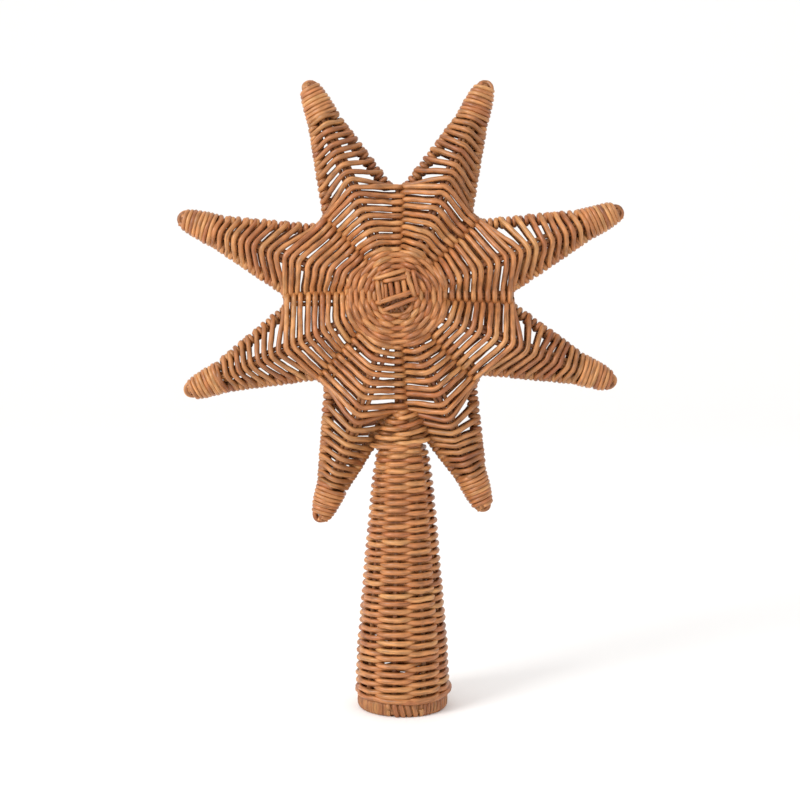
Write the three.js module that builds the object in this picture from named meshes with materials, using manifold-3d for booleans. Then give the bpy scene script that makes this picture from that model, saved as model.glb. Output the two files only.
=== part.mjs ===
// Rattan star tree topper: an eight-armed star woven over rods, on a tapering woven socket.
// Millimetres, +Z up. The origin is the centre of the rim's underside, and the front looks along -Y.
import * as THREE from 'three';
import { mergeVertices } from 'three/addons/utils/BufferGeometryUtils.js';
import Module from 'manifold-3d';

const wasm = await Module();
wasm.setup();

// Driving dimensions.
const gap = 0.3;

const armCount = 8;
const starHeight = 205.5;
const starSide = -0.8;
const hubSide = -2.5;
const hubRise = 3;
const armReach = 118;
const crotchRadius = 57;

// Made by hand, no two arms or crotches are alike. Clockwise from twelve o'clock, seen from the front.
const armLeans = [-0.9, 0.2, -1.5, 0.5, -2.2, -0.6, -1.9, -0.7];
const armTrims = [-1.3, 1.6, -2.0, -3.2, 1.4, 0.1, 0.8, 0.0];
const crotchLeans = [-1.5, -3.4, -1.8, -0.6, 0.0, -0.8, 0.3, -0.5];
const crotchTrims = [0.3, -0.5, -0.5, -1.0, -0.3, 0.8, 1.7, -0.2];

const rodDiameter = 2.4;
const weaverDiameter = 2.4;
const rowGap = 1.1;
const armRowGap = 0.8;
const hubRadius = 7;
const hubThickness = 4.8;
const hubDepth = 17.5;

const bindingLength = 19.5;
const bindingStartRadius = 7.5;
const bindingTipRadius = 6;
const bindingWall = 1.5;
const bindingEndWall = 2;
const bindingCoil = 3.6;
const bindingGroove = 0.5;

const stakeCount = 8;
const stakeDiameter = 3;
const stakeTurn = -12;
const trunkWeaverDiameter = 2.5;
const trunkRowGap = 1.3;
const trunkFootRadius = 22.75;
const trunkTopRadius = 13.25;
const trunkTopHeight = 131;
const collarTopHalfWidth = 2.4;

const rimHeight = 7.5;
const rimCorner = 1.6;
const rimWrapCount = 18;
const rimWrapDepth = 0.4;

// Sizes that follow from them. A weaver's section is a triangle as high as the strand is thick, so
// its corners stand two thirds of that from the centre line.
const weaverSides = 3;
const cornerShare = 2 / 3;
const rodRadius = rodDiameter / 2;
const weaverReach = weaverDiameter * cornerShare;
const rodToWeaver = rodRadius + gap + weaverReach;
const armStep = 360 / armCount;
const ringCorner = crotchRadius / Math.cos(THREE.MathUtils.degToRad(armStep / 2));
const crotchRodDepth = rodRadius + gap / 2;
const bindingRodOffset = bindingStartRadius - bindingWall - gap - rodRadius;
const tipRodOffset = bindingTipRadius - bindingWall - gap - rodRadius;
const trunkWeaverReach = trunkWeaverDiameter * cornerShare;
const stakeRadius = stakeDiameter / 2;
const stakeInset = trunkWeaverReach
  + (trunkWeaverReach + gap + stakeRadius) / Math.cos(Math.PI / stakeCount);

// Points of the star's plane, measured from the star's centre, and their places in the part.
function polar(degrees, radius) {
  const turn = THREE.MathUtils.degToRad(degrees);
  return new THREE.Vector2(radius * Math.sin(turn), radius * Math.cos(turn));
}

function inStar(flat, depth) {
  return new THREE.Vector3(starSide + flat.x, depth, starHeight + flat.y);
}

const hub = new THREE.Vector2(hubSide, hubRise);

const crotches = crotchLeans.map((lean, i) => polar(armStep * i + lean, crotchRadius + crotchTrims[i]));

const arms = armLeans.map((lean, i) => {
  const angle = armStep * (i + 0.5) + lean;
  const along = polar(angle, 1);
  const across = polar(angle + 90, 1);
  const reach = armReach + armTrims[i];
  const bindingStart = reach - bindingLength;
  const sides = [crotches[i], crotches[(i + 1) % armCount]].map((crotch, side) => ({
    sign: side === 0 ? -1 : 1,
    crotchAlong: crotch.dot(along),
    crotchAcross: Math.abs(crotch.dot(across)),
  }));
  return { along, across, reach, bindingStart, sides };
});

function onArm(arm, distance, offset, depth) {
  const flat = arm.along.clone().multiplyScalar(distance).addScaledVector(arm.across, offset);
  return inStar(flat, depth);
}

// Depth of a ridge rod's centre line at a distance from the hub, and of a valley rod's at a share
// of the way from the hub to the crotch.
function ridgeRodDepth(arm, distance) {
  return THREE.MathUtils.lerp(hubDepth, bindingRodOffset, distance / arm.bindingStart);
}

function valleyRodDepth(share) {
  return THREE.MathUtils.lerp(hubDepth, crotchRodDepth, share);
}

// Offset of an edge rod from its arm's axis: inside the woven outline, and straight to the binding.
function edgeRodOffset(arm, side, distance) {
  const start = side.crotchAcross - rodToWeaver - weaverReach;
  const share = (distance - side.crotchAlong) / (arm.bindingStart - side.crotchAlong);
  return THREE.MathUtils.lerp(start, bindingRodOffset, share);
}

// A strand or rod: a section with few sides along straight runs, bent at each point of its route.
class Route extends THREE.Curve {
  constructor(points) {
    super();
    this.points = points;
  }

  getPoint(t, target = new THREE.Vector3()) {
    const place = t * (this.points.length - 1);
    const index = Math.min(Math.floor(place), this.points.length - 2);
    return target.lerpVectors(this.points[index], this.points[index + 1], place - index);
  }

  getPointAt(t, target) {
    return this.getPoint(t, target);
  }

  getTangentAt(t, target) {
    return this.getTangent(t, target);
  }
}

function strand(points, cornerRadius, sides) {
  const section = new THREE.Shape();
  for (let i = 0; i < sides; i++) {
    const turn = (2 * Math.PI * i) / sides;
    const corner = [Math.cos(turn) * cornerRadius, Math.sin(turn) * cornerRadius];
    if (i === 0) section.moveTo(...corner);
    else section.lineTo(...corner);
  }
  return new THREE.ExtrudeGeometry(section, { extrudePath: new Route(points), steps: points.length - 1 });
}

// Rods that are jointed into one piece.
const mergeTolerance = 1e-4;

function toSolid(geometry) {
  const plain = geometry.clone();
  plain.deleteAttribute('normal');
  plain.deleteAttribute('uv');
  const merged = mergeVertices(plain, mergeTolerance);
  const mesh = new wasm.Mesh({
    numProp: 3,
    vertProperties: Float32Array.from(merged.attributes.position.array),
    triVerts: Uint32Array.from(merged.index.array),
  });
  mesh.merge();
  return new wasm.Manifold(mesh);
}

function fuse(geometries) {
  const joined = geometries.map(toSolid).reduce((whole, piece) => whole.add(piece)).getMesh();
  const geometry = new THREE.BufferGeometry();
  geometry.setAttribute('position', new THREE.BufferAttribute(joined.vertProperties, 3));
  geometry.setIndex(new THREE.BufferAttribute(joined.triVerts, 1));
  geometry.computeVertexNormals();
  return geometry;
}

// Spokes of one face: a hub, eight ridge rods that run to the arms' tips, eight valley rods that
// end at the crotches. face is -1 in front and 1 behind.
const rodSides = 4;

function spokes(face) {
  const disc = new THREE.CylinderGeometry(hubRadius, hubRadius, hubThickness, 2 * armCount);
  const hubPlace = inStar(hub, face * hubDepth);
  disc.translate(hubPlace.x, hubPlace.y, hubPlace.z);
  const ridges = arms.map((arm) => strand([
    inStar(hub, face * ridgeRodDepth(arm, 0)),
    onArm(arm, ringCorner, 0, face * ridgeRodDepth(arm, ringCorner)),
    onArm(arm, arm.bindingStart, 0, face * bindingRodOffset),
    onArm(arm, arm.reach - bindingEndWall - gap - rodDiameter, 0, face * tipRodOffset),
  ], rodRadius, rodSides));
  const valleys = crotches.map((crotch) => strand([
    inStar(hub, face * hubDepth),
    inStar(crotch, face * crotchRodDepth),
  ], rodRadius, rodSides));
  return fuse([disc, ...ridges, ...valleys]);
}

// Weave of one face: one long strand, round and round over the sixteen spokes, straight between
// them, so that each round is an octagon that folds in at the valleys.
function ringCornerPlace(index) {
  if (index % 2 === 0) {
    const crotch = crotches[index / 2];
    return crotch.clone().setLength(crotch.length() - weaverReach);
  }
  const i = (index - 1) / 2;
  const meanCrotch = (crotches[i].length() + crotches[(i + 1) % armCount].length()) / 2;
  const radius = (meanCrotch - weaverReach) * ringCorner / crotchRadius;
  return arms[i].along.clone().multiplyScalar(radius);
}

function faceWeave(face) {
  const cornersPerTurn = 2 * armCount;
  const first = (hubRadius + gap + weaverDiameter) / (crotchRadius - weaverReach);
  const turns = Math.floor((1 - first) * ringCorner / (weaverDiameter + rowGap));
  const fold = (ridgeRodDepth(arms[0], ringCorner) - crotchRodDepth) / (ringCorner - crotchRadius / 2);
  const lift = rodToWeaver * Math.hypot(1, fold);
  const route = [];
  for (let i = 0; i <= turns * cornersPerTurn; i++) {
    const share = THREE.MathUtils.lerp(first, 1, i / (turns * cornersPerTurn));
    const index = i % cornersPerTurn;
    const corner = ringCornerPlace(index);
    const rodDepth = index % 2 === 0
      ? valleyRodDepth(share)
      : ridgeRodDepth(arms[(index - 1) / 2], share * corner.length());
    route.push(inStar(hub.clone().lerp(corner, share), face * (rodDepth + lift)));
  }
  return strand(route, weaverReach, weaverSides);
}

// Edge rod of an arm: up one edge from the crotch, round the tip and down the other edge.
const tipBendSteps = 4;

function edgeRod(arm) {
  const runs = arm.sides.map((side) => {
    const start = side.crotchAlong + rodDiameter;
    return [
      onArm(arm, start, side.sign * edgeRodOffset(arm, side, start), 0),
      onArm(arm, arm.bindingStart, side.sign * bindingRodOffset, 0),
    ];
  });
  const bendCentre = arm.reach - bindingEndWall - gap - rodRadius - tipRodOffset;
  const bend = [];
  for (let i = 0; i <= tipBendSteps; i++) {
    const turn = Math.PI * i / tipBendSteps;
    bend.push(onArm(arm, bendCentre + tipRodOffset * Math.sin(turn), -tipRodOffset * Math.cos(turn), 0));
  }
  return strand([...runs[0], ...bend, ...runs[1].reverse()], rodRadius, rodSides);
}

// Weave of an arm: one strand wound round the front ridge, an edge, the back ridge and the other
// edge. Its rounds leave the crotch as chevrons and stand square to the arm at the binding.
const armCornersPerTurn = 6;

function armWeave(arm, index) {
  const last = arm.bindingStart - gap - weaverReach;
  const firstRidge = ringCornerPlace(2 * index + 1).length() + weaverDiameter + rowGap;
  const turns = Math.floor((last - firstRidge) / (weaverDiameter + armRowGap));
  const [left, right] = arm.sides;
  const corners = [
    { side: null, face: -1 },
    { side: right, face: -1 },
    { side: right, face: 1 },
    { side: null, face: 1 },
    { side: left, face: 1 },
    { side: left, face: -1 },
  ];
  const route = [];
  for (let i = 0; i <= turns * armCornersPerTurn; i++) {
    const share = i / (turns * armCornersPerTurn);
    const { side, face } = corners[i % armCornersPerTurn];
    if (side) {
      const distance = THREE.MathUtils.lerp(side.crotchAlong + rodDiameter, last, share);
      const offset = edgeRodOffset(arm, side, distance) + rodToWeaver;
      route.push(onArm(arm, distance, side.sign * offset, face * rodToWeaver));
    } else {
      const distance = THREE.MathUtils.lerp(firstRidge, last, share);
      const depth = ridgeRodDepth(arm, distance);
      const slope = depth / edgeRodOffset(arm, left, distance);
      route.push(onArm(arm, distance, 0, face * (depth + rodToWeaver * Math.hypot(1, slope))));
    }
  }
  return strand(route, weaverReach, weaverSides);
}

// Binding of a tip: a cup of tight coils, open towards the star, that holds the ends of the rods.
const bindingSides = 8;

function tipBinding(arm) {
  const length = bindingLength;
  const coils = Math.floor((length - bindingTipRadius) / bindingCoil);
  const outer = (distance) => THREE.MathUtils.lerp(bindingStartRadius, bindingTipRadius, distance / length);
  const profile = [
    new THREE.Vector2(0, length - bindingEndWall),
    new THREE.Vector2(bindingTipRadius - bindingWall, length - bindingEndWall),
    new THREE.Vector2(bindingStartRadius - bindingWall, 0),
    new THREE.Vector2(bindingStartRadius - bindingGroove, 0),
  ];
  for (let i = 0; i < coils; i++) {
    const crest = (i + 0.5) * bindingCoil;
    const groove = (i + 1) * bindingCoil;
    profile.push(new THREE.Vector2(outer(crest), crest));
    profile.push(new THREE.Vector2(outer(groove) - bindingGroove, groove));
  }
  profile.push(new THREE.Vector2(bindingTipRadius, length - bindingTipRadius / 2));
  profile.push(new THREE.Vector2(bindingTipRadius / 2, length));
  profile.push(new THREE.Vector2(0, length));
  return new THREE.LatheGeometry(profile, bindingSides);
}

// Socket: stakes round a cone, and one strand wound outside them from the rim to the star. Between
// the two lowest arms the rounds narrow, and so fill the notch up to the crotch as a collar.
const crotchHeight = starHeight + crotches[armCount / 2].y;
const notchSpread = (() => {
  const [arm, side] = [arms[armCount / 2 - 1], 1];
  const notch = crotches[armCount / 2];
  const bindingEdge = bindingRodOffset + rodToWeaver + weaverReach;
  const outer = arm.along.clone().multiplyScalar(arm.bindingStart)
    .addScaledVector(arm.across, arm.sides[side].sign * bindingEdge);
  return Math.abs(outer.x - notch.x) / Math.abs(outer.y - notch.y);
})();

function trunkRadius(height) {
  const share = (height - rimHeight) / (trunkTopHeight - rimHeight);
  return THREE.MathUtils.lerp(trunkFootRadius, trunkTopRadius, share);
}

function stakeAngle(index) {
  return THREE.MathUtils.degToRad(stakeTurn + 360 * index / stakeCount);
}

function stake(index) {
  const turn = stakeAngle(index);
  const place = (height) => {
    const radius = trunkRadius(height) - stakeInset;
    return new THREE.Vector3(radius * Math.sin(turn), -radius * Math.cos(turn), height);
  };
  const stakeSides = 6;
  return strand([place(rimHeight + gap + stakeRadius / 2), place(trunkTopHeight)], stakeRadius, stakeSides);
}

function trunkWeave() {
  const pitch = trunkWeaverDiameter + trunkRowGap;
  const bottom = rimHeight + gap + trunkWeaverReach;
  const notchGap = trunkWeaverReach + gap;
  const top = crotchHeight - (collarTopHalfWidth + notchGap) / notchSpread;
  const turns = Math.floor((top - bottom) / pitch);
  const route = [];
  for (let i = 0; i <= turns * stakeCount; i++) {
    const height = bottom + pitch * i / stakeCount;
    const turn = stakeAngle(i);
    const radius = trunkRadius(height) - trunkWeaverReach;
    const notchHalfWidth = notchSpread * (crotchHeight - height) - notchGap;
    const halfWidth = Math.min(radius, notchHalfWidth);
    route.push(new THREE.Vector3(halfWidth * Math.sin(turn), -radius * Math.cos(turn), height));
  }
  return strand(route, trunkWeaverReach, weaverSides);
}

// Rim: a ring of stakes bound over and over with cane, flat below, with the wraps as low ribs.
function rim() {
  const inner = trunkFootRadius - stakeInset - stakeRadius;
  const section = [
    [inner + rimCorner, 0],
    [trunkFootRadius - rimCorner, 0],
    [trunkFootRadius, rimCorner],
    [trunkFootRadius, rimHeight - rimCorner],
    [trunkFootRadius - rimCorner, rimHeight],
    [inner + rimCorner, rimHeight],
    [inner, rimHeight - rimCorner],
    [inner, rimCorner],
  ];
  const stations = 2 * rimWrapCount;
  const positions = [];
  const faces = [];
  for (let i = 0; i < stations; i++) {
    const turn = (2 * Math.PI * i) / stations;
    section.forEach(([radius, height]) => {
      const bound = height > 0 && radius > inner + rimCorner && i % 2 === 1;
      const reach = bound ? radius - rimWrapDepth : radius;
      positions.push(reach * Math.sin(turn), -reach * Math.cos(turn), height);
    });
  }
  const count = section.length;
  for (let i = 0; i < stations; i++) {
    const next = (i + 1) % stations;
    for (let j = 0; j < count; j++) {
      const k = (j + 1) % count;
      const [a, b, c, d] = [i * count + j, i * count + k, next * count + k, next * count + j];
      faces.push(a, d, c, a, c, b);
    }
  }
  const geometry = new THREE.BufferGeometry();
  geometry.setAttribute('position', new THREE.Float32BufferAttribute(positions, 3));
  geometry.setIndex(faces);
  geometry.computeVertexNormals();
  return geometry;
}

// Finishes.
function rattan(colour, roughness) {
  return new THREE.MeshStandardMaterial({ color: colour, roughness, metalness: 0 });
}

const topper = new THREE.Group();

function addPiece(name, geometry, colour, roughness) {
  const mesh = new THREE.Mesh(geometry, rattan(colour, roughness));
  mesh.name = name;
  topper.add(mesh);
  return mesh;
}

const rodColour = 0xa06a3c;
const weaverColour = 0xb87c4c;
const bindingColour = 0xc08a55;
const rodRoughness = 0.6;
const weaverRoughness = 0.5;

addPiece('front_spokes', spokes(-1), rodColour, rodRoughness);
addPiece('back_spokes', spokes(1), rodColour, rodRoughness);
addPiece('front_weave', faceWeave(-1), weaverColour, weaverRoughness);
addPiece('back_weave', faceWeave(1), weaverColour, weaverRoughness);

arms.forEach((arm, i) => {
  const number = i + 1;
  addPiece(`arm_edge_rod_${number}`, edgeRod(arm), rodColour, rodRoughness);
  addPiece(`arm_weave_${number}`, armWeave(arm, i), weaverColour, weaverRoughness);
  const binding = addPiece(`tip_binding_${number}`, tipBinding(arm), bindingColour, weaverRoughness);
  const along = new THREE.Vector3(arm.along.x, 0, arm.along.y);
  const across = new THREE.Vector3(arm.across.x, 0, arm.across.y);
  const turned = new THREE.Matrix4().makeBasis(across, along, across.clone().cross(along));
  binding.quaternion.setFromRotationMatrix(turned);
  binding.position.copy(onArm(arm, arm.bindingStart, 0, 0));
});

for (let i = 0; i < stakeCount; i++) {
  addPiece(`trunk_stake_${i + 1}`, stake(i), rodColour, rodRoughness);
}
addPiece('trunk_weave', trunkWeave(), weaverColour, weaverRoughness);
addPiece('rim', rim(), bindingColour, weaverRoughness);

export default topper;
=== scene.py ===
# %% [markdown]
# # A woven rattan star for the top of a tree
# The object is basketry: round rattan strands woven over rods, an eight-armed star on a tapering
# socket. The solid frame gives every place and size. This script dresses it with true strands that
# run over and under their rods, because the gaps between them are what the eye sees first.

# %% Load the frame
import math

import bpy
import numpy as np
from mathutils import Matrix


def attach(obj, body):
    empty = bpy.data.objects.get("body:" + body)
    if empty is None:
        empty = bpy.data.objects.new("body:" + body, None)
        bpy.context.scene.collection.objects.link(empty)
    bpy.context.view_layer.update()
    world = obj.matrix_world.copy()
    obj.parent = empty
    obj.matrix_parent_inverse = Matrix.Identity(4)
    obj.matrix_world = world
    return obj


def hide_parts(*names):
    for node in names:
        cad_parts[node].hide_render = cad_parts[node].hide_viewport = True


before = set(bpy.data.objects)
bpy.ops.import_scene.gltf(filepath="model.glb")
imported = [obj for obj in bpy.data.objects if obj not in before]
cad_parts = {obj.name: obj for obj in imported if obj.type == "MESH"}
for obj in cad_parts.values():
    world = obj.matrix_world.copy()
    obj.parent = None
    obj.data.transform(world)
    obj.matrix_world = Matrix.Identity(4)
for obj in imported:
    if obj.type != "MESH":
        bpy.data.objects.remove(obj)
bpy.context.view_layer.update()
print("nodes in the frame:", len(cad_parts))

# %% [markdown]
# The star is seen straight on through a long lens. The camera stands 0.7 metres away, just above
# the height of the star's middle, and looks slightly down. So the foot shows its round front edge,
# and the arms show no sides.

# %% Camera
MM = 0.001
CAMERA_DISTANCE = 0.7
CAMERA_HEIGHT = 0.208
CAMERA_SIDE = -0.0012
CAMERA_TILT = 4.27
LENS = 63.0
SENSOR_WIDTH = 36.0

camera_data = bpy.data.cameras.new("camera")
camera_data.lens = LENS
camera_data.sensor_width = SENSOR_WIDTH
camera = bpy.data.objects.new("camera", camera_data)
camera.location = (CAMERA_SIDE, -CAMERA_DISTANCE, CAMERA_HEIGHT)
camera.rotation_euler = (math.radians(90.0 - CAMERA_TILT), 0.0, 0.0)
bpy.context.scene.collection.objects.link(camera)
bpy.context.scene.camera = camera
print("camera field of view:", round(math.degrees(camera_data.angle), 1), "degrees")

# %% [markdown]
# The setting is a plain white studio: a pale floor, an even white surround, and one large soft
# light from the upper left in front, so that each round strand has a bright side and a dark side.
# Floor and backdrop are one sheet that curves up behind, so no horizon crosses the star.

# %% Floor, surround and light
FLOOR_COLOUR = "#FBFAF9"
FLOOR_ROUGHNESS = 0.9
SHEET_HALF_WIDTH = 6.0
SHEET_FRONT = -6.0
SHEET_TOP = 5.0
BEND_START = 1.6
BEND_RADIUS = 1.4
BEND_STEP = 6
WORLD_COLOUR = "#FFFFFF"
WORLD_STRENGTH = 1.0
KEY_PLACE = (-1.0, -0.8, 0.85)
KEY_SIZE = 0.55
KEY_POWER = 13.5
STAR_MIDDLE = (0.0, 0.0, 0.2)


def linear(hex_colour):
    """A colour given as on a screen, as the four linear values that a shader takes."""
    channels = [int(hex_colour[i:i + 2], 16) / 255 for i in (1, 3, 5)]
    return [c / 12.92 if c <= 0.04045 else ((c + 0.055) / 1.055) ** 2.4 for c in channels] + [1.0]


bends = [math.radians(angle) for angle in range(0, 91, BEND_STEP)]
profile = ([(SHEET_FRONT, 0.0)]
           + [(BEND_START + BEND_RADIUS * math.sin(t), BEND_RADIUS * (1 - math.cos(t)))
              for t in bends]
           + [(BEND_START + BEND_RADIUS, SHEET_TOP)])
sheet_corners = [(x, y, z) for y, z in profile for x in (-SHEET_HALF_WIDTH, SHEET_HALF_WIDTH)]
sheet_faces = [(2 * i, 2 * i + 1, 2 * i + 3, 2 * i + 2) for i in range(len(profile) - 1)]
floor_mesh = bpy.data.meshes.new("floor")
floor_mesh.from_pydata(sheet_corners, [], sheet_faces)
floor_mesh.shade_smooth()
floor_material = bpy.data.materials.new("matte_white_paper")
floor_material.use_nodes = True
floor_shader = floor_material.node_tree.nodes["Principled BSDF"]
floor_shader.inputs["Base Color"].default_value = linear(FLOOR_COLOUR)
floor_shader.inputs["Roughness"].default_value = FLOOR_ROUGHNESS
floor_mesh.materials.append(floor_material)
floor = bpy.data.objects.new("floor", floor_mesh)
bpy.context.scene.collection.objects.link(floor)

world = bpy.data.worlds.new("white_surround")
bpy.context.scene.world = world
world.use_nodes = True
world.node_tree.nodes["Background"].inputs["Color"].default_value = linear(WORLD_COLOUR)
world.node_tree.nodes["Background"].inputs["Strength"].default_value = WORLD_STRENGTH

key_data = bpy.data.lights.new("key_softbox", "AREA")
key_data.size = KEY_SIZE
key_data.energy = KEY_POWER
key = bpy.data.objects.new("key_softbox", key_data)
key.location = KEY_PLACE
aim = np.array(STAR_MIDDLE) - np.array(KEY_PLACE)
key.rotation_euler = (math.atan2(math.hypot(aim[0], aim[1]), -aim[2]), 0.0,
                      math.atan2(aim[1], aim[0]) - math.pi / 2)
bpy.context.scene.collection.objects.link(key)
bpy.context.scene.view_settings.view_transform = "Standard"
print("key light power:", KEY_POWER, "W")

# %% [markdown]
# ## Rattan
# Rattan core is the inside of a climbing palm, drawn through a die. It is matt to satin, full of
# fine lengthwise fibres, and each stick has its own brown. The pattern must follow the strand round
# every bend, so each strand carries an attribute, grain, with its place along the strand and round
# it in millimetres. Fibres are noise stretched along it, and the tone drifts slowly down its length.

# %% Rattan material
FIBRE_WIDTH = 0.6
FIBRE_LENGTH = 9.0
TONE_LENGTH = 46.0
TONE_ACROSS = 0.02
MOTTLE_LENGTH = 5.0
MOTTLE_ACROSS = 0.5
DARK_AT, MIDDLE_AT, LIGHT_AT = 0.34, 0.5, 0.68
SHADE_RANGE = (0.7, 1.3)
BRIGHTNESS_RANGE = (0.5, 1.34)
RATTAN_IOR = 1.5
FIBRE_RELIEF = 0.35
FIBRE_HEIGHT = 0.0002


def add_node(tree, kind, links, values=None, **properties):
    """Adds a node with links from sources to its inputs, values of inputs, and its properties."""
    node = tree.nodes.new(kind)
    for name, value in properties.items():
        setattr(node, name, value)
    for socket, value in (values or {}).items():
        node.inputs[socket].default_value = value
    for socket, source in links.items():
        tree.links.new(source, node.inputs[socket])
    return node


def rattan(name, dark, middle, light, roughness):
    """Round rattan: slow change of tone along a strand, fine fibres, a satin surface."""
    material = bpy.data.materials.new(name)
    material.use_nodes = True
    tree = material.node_tree
    shader = tree.nodes["Principled BSDF"]
    grain = add_node(tree, "ShaderNodeAttribute", {}, attribute_name="grain").outputs["Vector"]

    def noise(along, across, detail):
        """Noise stretched along the strand, by changes per millimetre along and across it."""
        mapped = add_node(tree, "ShaderNodeMapping", {"Vector": grain},
                          {"Scale": (along, across, across)})
        return add_node(tree, "ShaderNodeTexNoise", {"Vector": mapped.outputs["Vector"]},
                        {"Scale": 1.0, "Detail": detail}).outputs["Fac"]

    tone = noise(1 / TONE_LENGTH, TONE_ACROSS, 2.0)
    mottle = noise(1 / MOTTLE_LENGTH, MOTTLE_ACROSS, 3.0)
    fibre = noise(1 / FIBRE_LENGTH, 1 / FIBRE_WIDTH, 4.0)
    ramp = add_node(tree, "ShaderNodeValToRGB", {"Fac": tone})
    stops = ramp.color_ramp.elements
    stops[0].position, stops[0].color = DARK_AT, linear(dark)
    stops[1].position, stops[1].color = LIGHT_AT, linear(light)
    stops.new(MIDDLE_AT).color = linear(middle)
    shade = add_node(tree, "ShaderNodeMath", {0: fibre, 1: mottle}, operation="ADD")
    level = add_node(tree, "ShaderNodeMapRange", {"Value": shade.outputs["Value"]},
                     {"From Min": SHADE_RANGE[0], "From Max": SHADE_RANGE[1],
                      "To Min": BRIGHTNESS_RANGE[0], "To Max": BRIGHTNESS_RANGE[1]})
    tint = add_node(tree, "ShaderNodeVectorMath",
                    {0: ramp.outputs["Color"], "Scale": level.outputs["Result"]}, operation="SCALE")
    tree.links.new(tint.outputs["Vector"], shader.inputs["Base Color"])
    shader.inputs["Roughness"].default_value = roughness
    shader.inputs["IOR"].default_value = RATTAN_IOR
    bump = add_node(tree, "ShaderNodeBump", {"Height": fibre},
                    {"Strength": FIBRE_RELIEF, "Distance": FIBRE_HEIGHT})
    tree.links.new(bump.outputs["Normal"], shader.inputs["Normal"])
    return material


weaver_finish = rattan("satin_rattan_core", "#A06036", "#B47645", "#C18A54", 0.4)
rod_finish = rattan("round_rattan_rod", "#7A4727", "#985F36", "#AC7340", 0.5)
arm_finish = rattan("satin_rattan_core_arms", "#8F532E", "#A2693C", "#B07B49", 0.42)
cane_finish = rattan("split_rattan_cane", "#92562F", "#A56B3D", "#B27D4A", 0.4)
print("finishes:", [m.name for m in (weaver_finish, rod_finish, arm_finish, cane_finish)])

# %% [markdown]
# ## A strand
# A strand is a long round thing with thousands of bends, all worked out by formula, so it isn't
# shaped by hand: its route is a list of points, smoothed into a curve, and a ring of corners is
# carried along it without twisting. That also gives the grain attribute for free. Several strands
# that belong to one piece go into one mesh. From here on, all lengths are in millimetres.

# %% Strands from routes
STRAND_SIDES = 8
LOOSE = 0.09
ROUGH = 0.045
STRAY_EVERY = 4.5
STRAY_PAST_END = 10
GRAIN_SPREAD = 4000
ANY_SIDE = (0.31, 0.87, 0.39)
rng = np.random.default_rng(8)


def run_lengths(points):
    """How far along the route each point is."""
    return np.concatenate([[0], np.cumsum(np.linalg.norm(np.diff(points, axis=0), axis=1))])


def smooth(points, step):
    """A curve through the points, with points at even steps."""
    p = np.asarray(points, dtype=float)
    padded = np.vstack([2 * p[0] - p[1], p, 2 * p[-1] - p[-2]])
    knots = np.maximum(np.linalg.norm(np.diff(padded, axis=0), axis=1), 1e-6) ** 0.5
    fine = []
    for i in range(1, len(padded) - 2):
        p0, p1, p2, p3 = padded[i - 1:i + 3]
        k0, k1, k2 = knots[i - 1:i + 2]
        m1 = ((p1 - p0) / k0 - (p2 - p0) / (k0 + k1) + (p2 - p1) / k1) * k1
        m2 = ((p2 - p1) / k1 - (p3 - p1) / (k1 + k2) + (p3 - p2) / k2) * k1
        count = max(2, int(np.linalg.norm(p2 - p1) / (step / 3)))
        t = np.linspace(0, 1, count, endpoint=False)[:, None]
        fine.append((2 * t**3 - 3 * t**2 + 1) * p1 + (t**3 - 2 * t**2 + t) * m1
                    + (-2 * t**3 + 3 * t**2) * p2 + (t**3 - t**2) * m2)
    fine = np.vstack(fine + [p[-1:]])
    run = run_lengths(fine)
    even = np.linspace(0, run[-1], max(3, int(round(run[-1] / step)) + 1))
    return np.column_stack([np.interp(even, run, fine[:, axis]) for axis in range(3)])


def strand_along(points, step, radius):
    """A strand on a curve through the points, with a ring of corners at every step."""
    return {"route": smooth(points, step), "radius": radius}


def carried_frames(points, ups):
    """Two directions across the route at each point: carried along it, or turned to face ups."""
    tangents = np.gradient(points, axis=0)
    tangents /= np.linalg.norm(tangents, axis=1)[:, None]
    if ups is None:
        side = np.cross(tangents[0], ANY_SIDE)
        side /= np.linalg.norm(side)
        sides = [side]
        for tangent in tangents[1:]:
            side = side - tangent * np.dot(side, tangent)
            side /= np.linalg.norm(side)
            sides.append(side)
        sides = np.array(sides)
    else:
        sides = np.cross(ups, tangents)
        sides /= np.linalg.norm(sides, axis=1)[:, None]
    return sides, np.cross(tangents, sides)


def grained_mesh(name, corners, faces, grain):
    """A smooth mesh whose corners carry their place in the grain."""
    mesh = bpy.data.meshes.new(name)
    mesh.from_pydata((corners * MM).tolist(), [], faces)
    mesh.update()
    attribute = mesh.attributes.new("grain", "FLOAT_VECTOR", "POINT")
    attribute.data.foreach_set("vector", grain.ravel())
    mesh.shade_smooth()
    return mesh


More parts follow.
